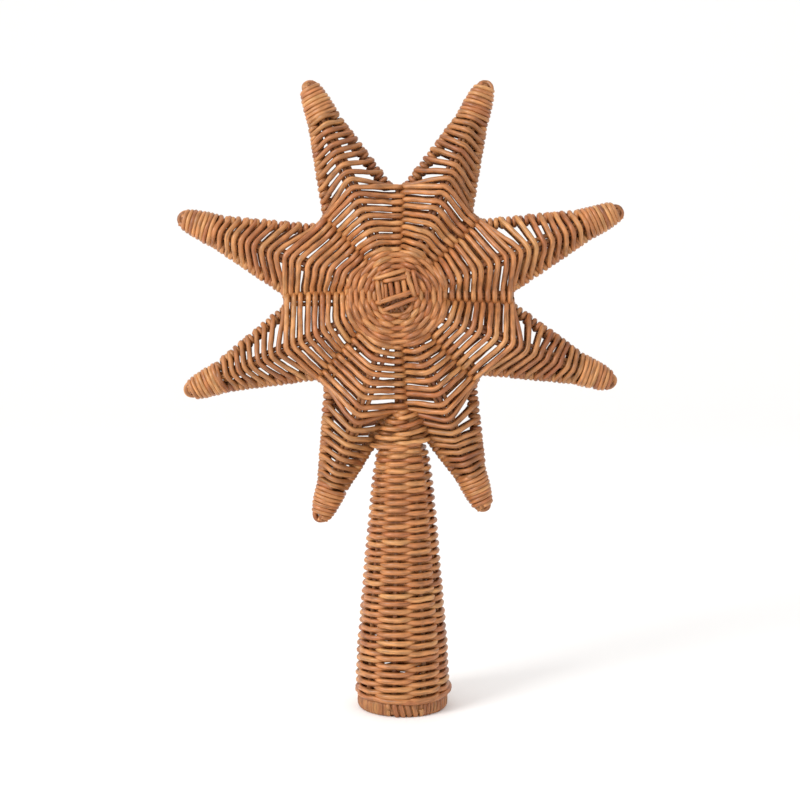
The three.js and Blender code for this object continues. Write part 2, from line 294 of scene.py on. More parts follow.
def strand_mesh(name, strands):
    """One mesh of several strands: dicts with route, radius, maybe flat, ups, rough and loose."""
    corners, faces, grain = [], [], []
    start = 0
    turn = 2 * np.pi * np.arange(STRAND_SIDES) / STRAND_SIDES
    for strand in strands:
        points = strand["route"]
        count = len(points)
        loose = strand.get("loose", LOOSE)
        along = run_lengths(points)
        knots = np.arange(0, along[-1] + STRAY_PAST_END, STRAY_EVERY)
        stray = [np.interp(along, knots, rng.normal(0, loose, len(knots))) for _ in range(3)]
        points = points + np.column_stack(stray)
        side, up = carried_frames(points, strand.get("ups"))
        wide = strand["radius"]
        thick = strand.get("flat", 1.0) * wide
        slow = np.interp(along, knots, rng.normal(0, strand.get("rough", ROUGH), len(knots)))
        swell = (1 + slow)[:, None, None]
        ring = (np.cos(turn)[None, :, None] * side[:, None, :] * wide
                + np.sin(turn)[None, :, None] * up[:, None, :] * thick) * swell
        corners.append((points[:, None, :] + ring).reshape(-1, 3))
        offset = rng.uniform(0, GRAIN_SPREAD, 3)
        mark = np.empty((count, STRAND_SIDES, 3))
        mark[:, :, 0] = along[:, None]
        mark[:, :, 1] = np.cos(turn)[None, :] * wide
        mark[:, :, 2] = np.sin(turn)[None, :] * wide
        grain.append((mark + offset).reshape(-1, 3))
        index = start + np.arange(count * STRAND_SIDES).reshape(count, STRAND_SIDES)
        following = np.roll(index, -1, axis=1)
        quads = np.stack([index[:-1], following[:-1], following[1:], index[1:]], axis=-1)
        faces.extend(quads.reshape(-1, 4).tolist())
        faces.append(index[0][::-1].tolist())
        faces.append(index[-1].tolist())
        start += count * STRAND_SIDES
    return grained_mesh(name, np.vstack(corners), faces, np.vstack(grain))


def linked_object(name, mesh, material):
    """An object at the origin, with its place in the mesh."""
    mesh.materials.append(material)
    piece = bpy.data.objects.new(name, mesh)
    bpy.context.scene.collection.objects.link(piece)
    return piece


def rattan_piece(name, strands, node, material):
    """A finished piece of strands that stands for a node of the frame."""
    piece = linked_object(name, strand_mesh(name, strands), material)
    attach(piece, "root")
    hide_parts(node)


def wobble(count, size, every):
    """Smooth seeded drift: the small unevenness of hand work."""
    knots = rng.normal(0, size, count // every + 4)
    return np.interp(np.arange(count) / every, np.arange(len(knots)), knots)


print("sides of a strand:", STRAND_SIDES)

# %% [markdown]
# ## The star's layout
# The star has eight arms and eight crotches. Each was set by hand on the real one, so each leans
# and reaches a little its own way, as in the frame. Angles run clockwise from twelve o'clock.

# %% Layout of the star
ARMS = 8
ARM_STEP = 360 / ARMS
STAR_SIDE = -0.8
STAR_HEIGHT = 205.5
HUB = np.array([-2.5, 3.0])
ARM_REACH = 118.0
CROTCH_RADIUS = 57.0
ARM_LEANS = (-0.9, 0.2, -1.5, 0.5, -2.2, -0.6, -1.9, -0.7)
ARM_TRIMS = (-1.3, 1.6, -2.0, -3.2, 1.4, 0.1, 0.8, 0.0)
CROTCH_LEANS = (-1.5, -3.4, -1.8, -0.6, 0.0, -0.8, 0.3, -0.5)
CROTCH_TRIMS = (0.3, -0.5, -0.5, -1.0, -0.3, 0.8, 1.7, -0.2)

ROD = 1.2
WEAVER = 1.33
BINDING_LENGTH = 19.5
BINDING_ROD_OFFSET = 4.5
TIP_ROD_OFFSET = 3.0
HUB_DEPTH = 18.1
CROTCH_ROD_DEPTH = 1.4


def polar(degrees, radius):
    """A place in the star's plane: right and up from its middle."""
    turn = math.radians(degrees)
    return np.array([radius * math.sin(turn), radius * math.cos(turn)])


def in_star(flat, depth):
    """A place in the star's plane as a point of the scene. Depth is positive at the back."""
    return np.array([STAR_SIDE + flat[0], depth, STAR_HEIGHT + flat[1]])


def on_arm(arm, distance, offset, depth):
    """A point by its distance along an arm, its offset clockwise across it, and its depth."""
    return in_star(arm["along"] * distance + arm["across"] * offset, depth)


def ridge_depth(arm, distance):
    """Depth of the ridge rod, which falls from the hub to the binding."""
    return HUB_DEPTH + (BINDING_ROD_OFFSET - HUB_DEPTH) * distance / arm["start"]


def edge_offset(arm, side, distance):
    """Offset of the edge rod, with room outside it for the strands round it."""
    first = side["across"] - ROD - 3 * WEAVER
    share = (distance - side["along"]) / (arm["start"] - side["along"])
    return first + (BINDING_ROD_OFFSET - first) * share


def ring_corner(index):
    """Outermost corner of a round: even ones in the valleys, odd ones on the ridges."""
    if index % 2 == 0:
        crotch = crotches[index // 2]
        length = np.linalg.norm(crotch)
        return crotch * (length - WEAVER) / length
    i = index // 2
    mean = (np.linalg.norm(crotches[i]) + np.linalg.norm(crotches[(i + 1) % ARMS])) / 2
    return arms[i]["along"] * (mean - WEAVER) / math.cos(math.radians(ARM_STEP / 2))


crotches = [polar(ARM_STEP * i + CROTCH_LEANS[i], CROTCH_RADIUS + CROTCH_TRIMS[i])
            for i in range(ARMS)]
arms = []
for i in range(ARMS):
    angle = ARM_STEP * i + ARM_STEP / 2 + ARM_LEANS[i]
    along, across = polar(angle, 1), polar(angle + 90, 1)
    reach = ARM_REACH + ARM_TRIMS[i]
    sides = []
    for sign, crotch in ((-1, crotches[i]), (1, crotches[(i + 1) % ARMS])):
        sides.append({"sign": sign, "along": crotch @ along, "across": abs(crotch @ across)})
    arms.append({"angle": angle, "along": along, "across": across, "reach": reach,
                 "start": reach - BINDING_LENGTH, "sides": sides})
print("arm angles:", [round(arm["angle"], 1) for arm in arms])

# %% [markdown]
# ## Rods
# The rods carry everything and hardly show, only between strands and at the tips. Ridge rods run
# from the hub to the tips, valley rods end at the crotches, and one rod bends round each arm's edge.
# Each spoke has a thinner rod on either side of it, set a little deeper. They close the gaps along
# the ridges and seams, so that daylight shows only in the middle of each facet.

# %% Spokes and edge rods
ROD_STEP = 4.0
ROD_SHORT_OF_TIP = 3
VALLEY_ROD_END = 0.96

# The thinner rods: how far beside their spoke they lie, as widths in shares of BESIDE, how much
# deeper, and where they start and end along it.
BESIDE = 2.4
BESIDE_ROD = ROD - 0.1
RIDGE_BESIDE_DEEPER = 0.9
RIDGE_BESIDE_START = 16.0
RIDGE_BESIDE_SHORTER = 2
RIDGE_BESIDE_WIDTHS = (0.8, 1.0, 0.7)
VALLEY_BESIDE_DEEPER = 1.2
VALLEY_BESIDE_WIDTH = 0.9
VALLEY_BESIDE_SHARES = (0.3, 0.92)

EDGE_ROD_STEP = 1.2
EDGE_ROD_START = 3
EDGE_ROD_INSIDE_TIP = 0.4
EDGE_ROD_BEND_POINTS = 7


def spokes(face):
    """All spokes of one face: ridge rods and valley rods, with the thinner ones beside them."""
    strands = []
    for i, arm in enumerate(arms):
        corner = np.linalg.norm(ring_corner(2 * i + 1))
        route = [in_star(HUB, face * HUB_DEPTH),
                 on_arm(arm, corner, 0, face * ridge_depth(arm, corner)),
                 on_arm(arm, arm["start"], 0, face * BINDING_ROD_OFFSET),
                 on_arm(arm, arm["reach"] - ROD_SHORT_OF_TIP, 0, face * TIP_ROD_OFFSET)]
        strands.append(strand_along(route, ROD_STEP, ROD))
        distances = (RIDGE_BESIDE_START, corner, arm["start"] - RIDGE_BESIDE_SHORTER)
        for offset in (-BESIDE, BESIDE):
            route = [on_arm(arm, d, offset * width,
                            face * (ridge_depth(arm, d) - RIDGE_BESIDE_DEEPER))
                     for d, width in zip(distances, RIDGE_BESIDE_WIDTHS)]
            strands.append(strand_along(route, ROD_STEP, BESIDE_ROD))
    for crotch in crotches:
        route = [in_star(HUB, face * HUB_DEPTH),
                 in_star(crotch * VALLEY_ROD_END, face * CROTCH_ROD_DEPTH)]
        strands.append(strand_along(route, ROD_STEP, ROD))
        beside = np.array([crotch[1], -crotch[0]]) / np.linalg.norm(crotch) * BESIDE
        for side in (-1, 1):
            route = []
            for share in VALLEY_BESIDE_SHARES:
                depth = HUB_DEPTH + (CROTCH_ROD_DEPTH - HUB_DEPTH) * share - VALLEY_BESIDE_DEEPER
                route.append(in_star(crotch * share + side * beside * VALLEY_BESIDE_WIDTH,
                                     face * depth))
            strands.append(strand_along(route, ROD_STEP, BESIDE_ROD))
    return strands


def edge_rod(arm):
    """The rod that runs up one edge of an arm, round the tip and down the other edge."""
    legs = []
    for side in arm["sides"]:
        first = side["along"] + EDGE_ROD_START
        middle = (first + arm["start"]) / 2
        legs.append([on_arm(arm, d, side["sign"] * edge_offset(arm, side, d), 0)
                     for d in (first, middle, arm["start"])])
    centre = arm["reach"] - ROD - TIP_ROD_OFFSET - EDGE_ROD_INSIDE_TIP
    bend = [on_arm(arm, centre + TIP_ROD_OFFSET * math.sin(turn),
                   -TIP_ROD_OFFSET * math.cos(turn), 0)
            for turn in np.linspace(0, math.pi, EDGE_ROD_BEND_POINTS)]
    return strand_along(legs[0] + bend + legs[1][::-1], EDGE_ROD_STEP, ROD)


rattan_piece("front_spoke_rods", spokes(-1), "front_spokes", rod_finish)
rattan_piece("back_spoke_rods", spokes(1), "back_spokes", rod_finish)
for i, arm in enumerate(arms):
    rattan_piece(f"arm_edge_{i + 1}", [edge_rod(arm)], f"arm_edge_rod_{i + 1}",
                 rod_finish)
print("rods made for", len(arms), "arms")

# %% [markdown]
# ## Weave of the faces
# One strand goes round and round over the rods. It bends over each ridge. At each valley it goes
# down beside the rod and comes up nearly half a row further out, which gives the seam that looks
# like a plait, and up to the next valley it drifts back as much. So each round is a ring, and the
# whole step out to the next ring is taken in the seam at twelve o'clock.

# %% Front and back weave
ROUNDS = 14
FIRST_ROUND = 8.4
LAST_ROUND = CROTCH_RADIUS - 1.6
LAST_PITCH = 3.8
FIRST_PITCH = 2 * (LAST_ROUND - FIRST_ROUND) / ROUNDS - LAST_PITCH
STEPS = 2 * ARMS
WEAVE_STEP = 0.85
ROW_WOBBLE = 0.28
SEAM_STEP = 0.42
WRAP = ROD + WEAVER
VIEWING_DISTANCE = 700.0

# Near the hub the rounds are round and the bends tight. Further out they are octagons.
ROUND_WITHIN = 20.0
OCTAGON_FROM = 50.0
ROUNDING = 0.07
RIDGE_FALL = 0.4
HUB_ASIDE = 0.35
FULL_ASIDE = 40.0

# How far the back's rows stand outside the front's, as a share of a row, on each half facet
# clockwise from twelve o'clock. Where they stand right behind them, daylight shows between the rows.
BACK_ROW_SHIFTS = (0.34, 0.32, 0.38, 0.35, 0.42, 0.2, 0.37, 0.42,
                   0.0, 0.4, 0.33, 0.3, 0.45, 0.31, 0.23, 0.28)

# Over a ridge. Each line: aside, and how much lower than its highest place the strand lies.
RIDGE = ((-3.2, 0.4), (-1.1, 0.05), (1.1, 0.05), (3.2, 0.4))
RIDGE_INWARD = 0.1

# At a seam a row lies over the valley rod and goes down beside it, and the next facet's row comes
# up from behind the rod further out. Each line: aside, lift, and share of the step outwards.
SEAM = ((-3.4, 2.0, 0), (-1.3, 2.35, 0), (0.2, 2.3, 0), (1.6, 1.4, 0), (WRAP, 0.0, 0.05),
        (1.6, -1.8, 0.3), (0.9, -2.3, 0.6), (1.6, -1.9, 0.9), (2.6, -0.4, 1), (3.9, 0.9, 1),
        (5.0, 1.5, 1))
SEAMS_FROM_OTHER_SIDE = (4,)
TUCKED_END = ((-2.0, WRAP - 0.2), (-0.4, WRAP - 0.1), (1.4, 0.6), (2.0, -1.5))

BRAIDED_WITHIN = 23.0
BRAID_WOBBLE = 0.18
BRAID_INWARD = 0.4
BRAID_LIFT = 0.55
BRAID_SWING = 1.15

corners = [ring_corner(index) for index in range(STEPS)]


def round_radius(turns):
    """Radius of a round, measured at the valleys. The pitch grows evenly from the hub."""
    return FIRST_ROUND + FIRST_PITCH * turns + (LAST_PITCH - FIRST_PITCH) * turns**2 / (2 * ROUNDS)


def on_spoke(face, index, radius, aside, lift):
    """A place by a spoke: radius measured at the valleys, aside along the turn, lift off the rod."""
    corner = corners[index % STEPS]
    share = min(radius, LAST_ROUND) / LAST_ROUND
    flat = HUB + (corner - HUB) * share
    outward = corner / np.linalg.norm(corner)
    aside *= min(1.0, HUB_ASIDE + (1 - HUB_ASIDE) * radius / FULL_ASIDE)
    if index % 2 == 1:
        depth = ridge_depth(arms[index % STEPS // 2], share * np.linalg.norm(corner))
        octagon = min(1.0, max(0.0, (radius - ROUND_WITHIN) / (OCTAGON_FROM - ROUND_WITHIN)))
        flat = flat - outward * (abs(aside) * RIDGE_FALL * octagon
                                 + (1 - octagon) * ROUNDING * radius)
    else:
        depth = HUB_DEPTH + (CROTCH_ROD_DEPTH - HUB_DEPTH) * share * LAST_ROUND / CROTCH_RADIUS
    turn_way = np.array([outward[1], -outward[0]])
    if face > 0:
        # Spread, so that the back's rows stand behind the front's as the camera sees them.
        flat = flat * (1 + 2 * depth / VIEWING_DISTANCE)
    return in_star(flat + turn_way * aside, face * (depth + lift))


def face_weave(face):
    """Rounds from the hub to the crotches, clockwise as seen from in front."""
    route = []
    total = ROUNDS * STEPS
    drift = wobble(total + 1, ROW_WOBBLE, every=3)
    first = next(turns for turns in range(ROUNDS) if round_radius(turns) > BRAIDED_WITHIN)
    for i in range(first * STEPS, total + STEPS):
        turns = i // STEPS
        before = turns - 1 if i % STEPS == 0 and turns > first else turns
        pitch = FIRST_PITCH + (LAST_PITCH - FIRST_PITCH) * turns / ROUNDS
        came, goes = (round_radius(rounds) + drift[min(i, total)]
                      + (pitch * BACK_ROW_SHIFTS[place % STEPS] if face > 0 else 0)
                      for rounds, place in ((before, i - 1), (turns, i)))
        if i % 2 == 1:
            for aside, lower in RIDGE:
                radius = came if aside < 0 else goes
                route.append(on_spoke(face, i, radius - RIDGE_INWARD, aside, WRAP - lower))
        else:
            entry = came - SEAM_STEP * pitch / 2
            leave = goes + SEAM_STEP * pitch / 2
            steps = [(aside, lift, entry + (leave - entry) * out) for aside, lift, out in SEAM]
            if i % STEPS // 2 in SEAMS_FROM_OTHER_SIDE:
                steps = [(-aside, lift, entry + leave - place)
                         for aside, lift, place in steps[::-1]]
            for aside, lift, place in steps:
                route.append(on_spoke(face, i, place, aside, lift))
    for aside, lift in TUCKED_END:
        route.append(on_spoke(face, 0, LAST_ROUND, aside, lift))
    return strand_along(route, WEAVE_STEP, WEAVER)


def hub_braid(face, parity):
    """Near the hub two strands chase each other: one over the ridges, one over the valleys."""
    route = []
    last = next(i for i in range(ROUNDS * STEPS) if round_radius(i / STEPS) > BRAIDED_WITHIN)
    drift = wobble(last + 1, BRAID_WOBBLE, every=2)
    for i in range(last + 1):
        radius = round_radius((i / STEPS) + parity / 2) - BRAID_INWARD + drift[i]
        swing = math.cos(math.pi * (i + parity))
        route.append(on_spoke(face, i, radius, 0, ROD + BRAID_LIFT + BRAID_SWING * swing))
    return strand_along(route, WEAVE_STEP, WEAVER)


print("pitch of the rounds:", round(FIRST_PITCH, 2), "to", LAST_PITCH, "mm")

# %% [markdown]
# The hub is closed by a bundle of short upright sticks laid side by side, held by a frame of
# strands that cross over their ends. Seen from the front it is a small window with bars. A row of
# level sticks lies deeper, behind it and behind the innermost rounds, so that no daylight shows.

# %% Hub, and the faces as pieces
WINDOW = np.array([0.0, 2.0])
HUB_FRONT = 0.6
STICK_STEP = 1.5

# Each line: the two ends, right and up from the window's middle, and the radius.
STICKS = (((-5.2, 2.9), (-4.3, -4.8), 0.95), ((-2.7, 4.0), (-1.5, -4.6), 1.15),
          ((0.4, 4.6), (1.7, -4.2), 1.35), ((3.6, 5.2), (4.9, -3.2), 1.35))
UPPER_FRAME = (((-8.4, -5.9), (7.9, -0.6), 1.2), ((-4.9, 4.5), (6.6, 7.0), 1.1),
               ((-8.7, 3.6), (-7.6, -5.8), 1.1), ((5.4, 8.4), (8.7, -2.4), 1.15))
LOWER_FRAME = (((-9.0, 5.8), (4.2, 9.7), 1.1), ((-6.7, 4.2), (-6.0, -5.4), 0.8),
               ((-5.2, -9.4), (9.6, -3.8), 1.1), ((8.4, 8.6), (10.6, -1.2), 1.1))
UPPER_LIFT = 1.4
LOWER_LIFT = 0.8
FRAME_STEP = 0.9

# A frame strand bends down at its ends: share of its length, and how deep it goes.
FRAME_DIPS = ((-0.06, 2.6), (0.05, 0.8), (0.3, 0), (0.7, 0), (0.95, 0.8), (1.06, 2.6))

BACKING_HEIGHTS = (-10.2, -7.9, -5.6, -3.3, -1.0, 1.3, 3.6, 5.9)
BACKING_HALF_LENGTH = 8.0
BACKING_DEEPER = 2.4
BACKING_STICK = 1.35


def hub_boss(face):
    """The sticks and crossing strands that close the hub of one face."""
    strands = []
    middle = HUB + WINDOW
    front = HUB_DEPTH + ROD + HUB_FRONT
    for one, other, size in STICKS:
        ends = [in_star(middle + end, face * front) for end in (one, other)]
        strands.append(strand_along(ends, STICK_STEP, size))
    for rise in BACKING_HEIGHTS:
        ends = [in_star(middle + (x, rise), face * (HUB_DEPTH - BACKING_DEEPER))
                for x in (-BACKING_HALF_LENGTH, BACKING_HALF_LENGTH)]
        strands.append(strand_along(ends, STICK_STEP, BACKING_STICK))
    for lines, lift in ((UPPER_FRAME, UPPER_LIFT), (LOWER_FRAME, LOWER_LIFT)):
        for one, other, size in lines:
            one, other = middle + one, middle + other
            route = [in_star(one + (other - one) * t, face * (front + lift - dip))
                     for t, dip in FRAME_DIPS]
            strands.append(strand_along(route, FRAME_STEP, size))
    return strands


for face, side_name in ((-1, "front"), (1, "back")):
    rattan_piece(f"{side_name}_woven_strand",
                 [face_weave(face), hub_braid(face, 0), hub_braid(face, 1)] + hub_boss(face),
                 f"{side_name}_weave", weaver_finish)
print("faces woven,", ROUNDS, "rounds each")

# %% [markdown]
# ## Arms and tips
# Past the crotch each arm is wound by itself: over the front ridge, round one edge rod, over the
# back ridge, round the other edge rod. On an open arm the strand goes twice round one of the two.
# A close coil beneath it covers each edge rod. The rows leave the crotch as chevrons and stand
# square to the arm at its end.

# %% Arm windings
ARM_ROWS = 9.3
ARM_START = -0.5
ARM_WOBBLE = 0.22
ARM_WEAVER = 1.3
ARM_WEAVE_STEP = 1.0
ARM_TIGHTENING = 0.08
ARM_END_GAP = 0.4
FIRST_RIDGE_GAP = 3.4
FIRST_EDGE_GAP = 1.0
RIDGE_ASIDE = 1.1
RIDGE_SETTLE = 0.25
EDGE_SETTLE = 0.2
SLOPE_RUN = 6

# Round an edge rod twice or once: share of the way along that edge, and the angle round its rod.
TWICE_ROUND = ((0, -62), (0.04, 0), (0.19, 62), (0.5, 180), (0.81, 298), (0.96, 360), (1, 422))
ONCE_ROUND = ((0, -62), (0.5, 0), (1, 62))
EDGE_BEGINS = 0.01
TWICE_FROM = 0.3

# How far along a turn the strand leaves the right edge, crosses the back ridge and reaches the left
# edge. Where the back's rows stand right behind the front's, daylight shows between the rows.
LEFT_OPEN = (0.6, 0.88, 0.93)
RIGHT_OPEN = (0.07, 0.12, 0.4)
CLOSED = (0.49, 0.5, 0.51)
HALF_CLOSED = (0.28, 0.42, 0.55)
OPEN_ARMS = (LEFT_OPEN, LEFT_OPEN, LEFT_OPEN, LEFT_OPEN,
             CLOSED, RIGHT_OPEN, HALF_CLOSED, RIGHT_OPEN)

# How much the rows run ahead along each edge, left and right, which makes their chevrons flatter.
EDGE_LEADS = ((1.1, 0.0), (0.95, 0.0), (1.25, 0.0), (1.25, 0.2),
              (0.8, 0.6), (0.0, 0.5), (0.0, 0.45), (0.4, 0.75))

EDGE_COIL = 1.2
EDGE_COIL_PITCH = 2.9
EDGE_COIL_POINTS = 8
EDGE_COIL_STEP = 1.1
EDGE_COIL_SETTLE = 0.35
EDGE_COIL_START = 0.5
EDGE_COIL_END_GAP = 1.0


def arm_turn(leaves, crosses, arrives):
    """One turn of an arm: how far round it is, which side, and the angle round that edge's rod."""
    right = TWICE_ROUND if leaves > TWICE_FROM else ONCE_ROUND
    left = TWICE_ROUND if arrives < 1 - TWICE_FROM else ONCE_ROUND
    turn = [(0.0, None, -1)]
    turn += [(EDGE_BEGINS + (leaves - EDGE_BEGINS) * share, 1, angle) for share, angle in right]
    turn += [(crosses, None, 1)]
    turn += [(arrives + (1 - EDGE_BEGINS - arrives) * share, 0, -angle) for share, angle in left]
    return turn


def arm_winding(i, arm):
    """The strand wound round one arm, from the crotches to the binding."""
    last = arm["start"] - ARM_END_GAP
    first_ridge = np.linalg.norm(ring_corner(2 * i + 1)) + FIRST_RIDGE_GAP
    turn = arm_turn(*OPEN_ARMS[i])
    drift = wobble(int(ARM_ROWS + 3) * len(turn), ARM_WOBBLE, every=8)
    route = []
    for step in range(int((ARM_ROWS + 2) * len(turn))):
        part, side_index, place = turn[step % len(turn)]
        turns = step // len(turn) - 1 + part
        if not ARM_START <= turns <= ARM_ROWS:
            continue
        share = turns / ARM_ROWS
        share += ARM_TIGHTENING * share * (1 - share)
        if side_index is None:
            d = first_ridge + (last - first_ridge) * share + drift[step]
            depth = ridge_depth(arm, d)
            across = edge_offset(arm, arm["sides"][0], d) + SLOPE_RUN
            lift = (ROD + WEAVER) * math.hypot(1, depth / across)
            if place > 0:
                d *= 1 + 2 * depth / VIEWING_DISTANCE
            for offset in (-RIDGE_ASIDE, RIDGE_ASIDE):
                route.append(on_arm(arm, d, -place * offset,
                                    place * (depth + lift - RIDGE_SETTLE)))
        else:
            side = arm["sides"][side_index]
            first = side["along"] + FIRST_EDGE_GAP
            lead = EDGE_LEADS[i][side_index] * max(0.0, share) * (1 - share)**2
            d = first + (last - first) * (share + lead) + drift[step]
            angle = math.radians(place)
            radius = ROD + ARM_WEAVER - EDGE_SETTLE
            offset = edge_offset(arm, side, d) + radius * math.cos(angle)
            route.append(on_arm(arm, d, side["sign"] * offset, radius * math.sin(angle)))
    return strand_along(route, ARM_WEAVE_STEP, ARM_WEAVER)


def edge_coil(arm, side):
    """Close turns round an edge rod, under the arm's strand, so no hole shows along the edge."""
    first, last = side["along"] - EDGE_COIL_START, arm["start"] - EDGE_COIL_END_GAP
    steps = int((last - first) / EDGE_COIL_PITCH * EDGE_COIL_POINTS)
    radius = ROD + EDGE_COIL - EDGE_COIL_SETTLE
    route = []
    for k in range(steps + 1):
        d = first + (last - first) * k / steps
        turn = 2 * math.pi * k / EDGE_COIL_POINTS
        offset = edge_offset(arm, side, d) + radius * math.cos(turn)
        route.append(on_arm(arm, d, side["sign"] * offset, radius * math.sin(turn)))
    return strand_along(route, EDGE_COIL_STEP, EDGE_COIL)


print("rows of an arm:", ARM_ROWS)

# %% [markdown]
# At each tip a tight binding of thinner strand holds the rods together. A loop of it lies over the
# tip, and the cut ends of the rods fill the inside.

# %% Tip bindings, and the arms as pieces
BINDING_STRAND = 1.1
BINDING_TURNS = 8.0
BINDING_POINTS = 14
BINDING_WOBBLE = 0.12
BINDING_RADIUS = 7.3
BINDING_TAPER = 2.1
BINDING_ROUNDING = 1.0
BINDING_START = 0.6
BINDING_SHORTER = 3.6
TIP_STEP = 0.9

# The loop over the tip: distance back from the tip, and offset across.
TIP_LOOP = ((6.5, -3.0), (3.8, -2.9), (2.0, -1.7), (1.4, 0.4), (2.2, 2.4), (4.2, 3.7), (7.0, 3.9))
TIP_LOOP_LEAN = 0.6

ROD_ENDS = 4
ROD_END_START = 4
ROD_END_OFFSETS = (1.6, 3.2)
ROD_END_GAPS = (1.6, 3.2)
ROD_END_SIZES = (1.0, 1.3)
ROD_END_STEP = 1.5

# The arms, counted clockwise, whose strand is as light as the faces' strand.
BRIGHT_ARMS = (2, 7)


def tip_binding(arm):
    """The tight turns round one tip, the loop over it and the rod ends inside."""
    total = int(BINDING_TURNS * BINDING_POINTS)
    phase = rng.uniform(0, 2 * math.pi)
    drift = wobble(total + 1, BINDING_WOBBLE, every=7)
    route = []
    for k in range(total + 1):
        share = k / total
        turn = 2 * math.pi * k / BINDING_POINTS + phase
        radius = BINDING_RADIUS - BINDING_TAPER * share - BINDING_ROUNDING * share**4
        d = arm["start"] - BINDING_START + (BINDING_LENGTH - BINDING_SHORTER) * share + drift[k]
        route.append(on_arm(arm, d, radius * math.cos(turn), radius * math.sin(turn)))
    strands = [strand_along(route, TIP_STEP, BINDING_STRAND)]
    lean = rng.uniform(-TIP_LOOP_LEAN, TIP_LOOP_LEAN)
    loop = [on_arm(arm, arm["reach"] - back, offset, offset * lean) for back, offset in TIP_LOOP]
    strands.append(strand_along(loop, TIP_STEP, BINDING_STRAND))
    for _ in range(ROD_ENDS):
        turn = rng.uniform(0, 2 * math.pi)
        radius = rng.uniform(*ROD_END_OFFSETS)
        end = arm["reach"] - rng.uniform(*ROD_END_GAPS)
        ends = [on_arm(arm, d, radius * math.cos(turn), radius * math.sin(turn))
                for d in (arm["start"] + ROD_END_START, end)]
        strands.append(strand_along(ends, ROD_END_STEP, rng.uniform(*ROD_END_SIZES)))
    return strands


for i, arm in enumerate(arms):
    coils = [edge_coil(arm, side) for side in arm["sides"]]
    rattan_piece(f"arm_strand_{i + 1}", [arm_winding(i, arm)] + coils, f"arm_weave_{i + 1}",
                 weaver_finish if i + 1 in BRIGHT_ARMS else arm_finish)
    rattan_piece(f"tip_wrap_{i + 1}", tip_binding(arm), f"tip_binding_{i + 1}",
                 weaver_finish)
print("arms wound and bound:", len(arms))

# %% [markdown]
# ## Socket
# The socket is woven over eight stakes with two strands that chase each other: one passes over the
# even stakes, the other over the odd ones. That is why neighbouring stakes show their strokes half a
# row apart. It bulges a little low down. Each strand dips behind the stakes that it misses, deeper
# at the foot than at the top, where the rows lie close.

# %% Socket
STAKES = 8
STAKE_TURN = -12.0
STAKE = 1.4
STAKE_STEP = 6.0
FOOT_RADIUS = 22.75
RIM_HEIGHT = 7.5
TOP_HEIGHT = 131.0
STAKE_HEIGHTS = (3.0, 60.0, TOP_HEIGHT + 3)
SOCKET_HEIGHTS = (7.5, 31.0, 57.0, 95.0, 117.0, 131.0)
SOCKET_RADII = (24.1, 23.2, 20.9, 17.6, 15.4, 13.2)

SOCKET_WEAVER = 1.32
SOCKET_WEAVE_STEP = 1.2
SOCKET_PITCH = 3.82
SOCKET_WOBBLE = 0.2
STAKE_POINTS = 4
SOCKET_STEPS = STAKE_POINTS * STAKES
LAST_ROW_RISE = 1.4
RIM_ROW = RIM_HEIGHT + 0.7
RIM_ROW_DRIFT = 0.3
STROKE_LENGTH = 0.5
STROKE_FLATNESS = 1.25
FOOT_DIP = 0.85
TOP_DIP = -0.2

# The last strand at the foot. Each line: degrees round from the front, radius and height.
FOOT_ROUTE = ((-62, 19.0, 8.8), (-48, 21.6, 8.3), (-20, 22.3, 8.0), (12, 22.6, 7.4),
              (40, 22.6, 7.6), (64, 22.8, 8.3), (84, 23.9, 9.6), (102, 23.1, 11.0),
              (120, 19.0, 12.0))


def socket_radius(height):
    """Radius of the socket over its strands."""
    return np.interp(height, SOCKET_HEIGHTS, SOCKET_RADII)


def stake_radius(height):
    """Radius at the middle of the stakes."""
    return socket_radius(height) - 2 * SOCKET_WEAVER - STAKE


def round_socket(degrees, radius, height):
    """A point round the socket. Degrees run from the front to the right."""
    turn = math.radians(degrees)
    return np.array([radius * math.sin(turn), -radius * math.cos(turn), height])


def socket_strand(parity):
    """One of the two chasing strands. It starts and ends at the back."""
    turns = (TOP_HEIGHT - RIM_HEIGHT + LAST_ROW_RISE) / SOCKET_PITCH
    total = int((turns + 1) * SOCKET_STEPS)
    drift = wobble(total + 1, SOCKET_WOBBLE, every=9)
    route = []
    for k in range(total + 1):
        height = RIM_ROW + SOCKET_PITCH * (k / SOCKET_STEPS - 1 + parity / 2) + drift[k]
        height = max(height, RIM_ROW + RIM_ROW_DRIFT * drift[k])
        swing = math.cos(math.pi * (k / STAKE_POINTS + parity))
        dip = FOOT_DIP + (TOP_DIP - FOOT_DIP) * height / TOP_HEIGHT
        swing = max(-dip, min(1.0, STROKE_LENGTH + STROKE_FLATNESS * swing))
        radius = stake_radius(height) + (STAKE + SOCKET_WEAVER) * swing
        route.append(round_socket(STAKE_TURN + 180 + 360 / SOCKET_STEPS * k, radius, height))
    return strand_along(route, SOCKET_WEAVE_STEP, SOCKET_WEAVER)


def foot_strand():
    """The last strand at the foot lies outside the others and climbs on the right."""
    return strand_along([round_socket(*place) for place in FOOT_ROUTE], SOCKET_WEAVE_STEP,
                        SOCKET_WEAVER)


for k in range(STAKES):
    route = [round_socket(STAKE_TURN + 360 / STAKES * k, stake_radius(h), h)
             for h in STAKE_HEIGHTS]
    rattan_piece(f"socket_stake_{k + 1}", [strand_along(route, STAKE_STEP, STAKE)],
                 f"trunk_stake_{k + 1}", arm_finish)
print("stakes of the socket:", STAKES)

# %% [markdown]
# Over the top of the socket short rows narrow into the notch between the two lowest arms, as a
# collar. Each row is two strokes that lap over each other at the middle, with shorter strands
# behind them to keep the daylight out.

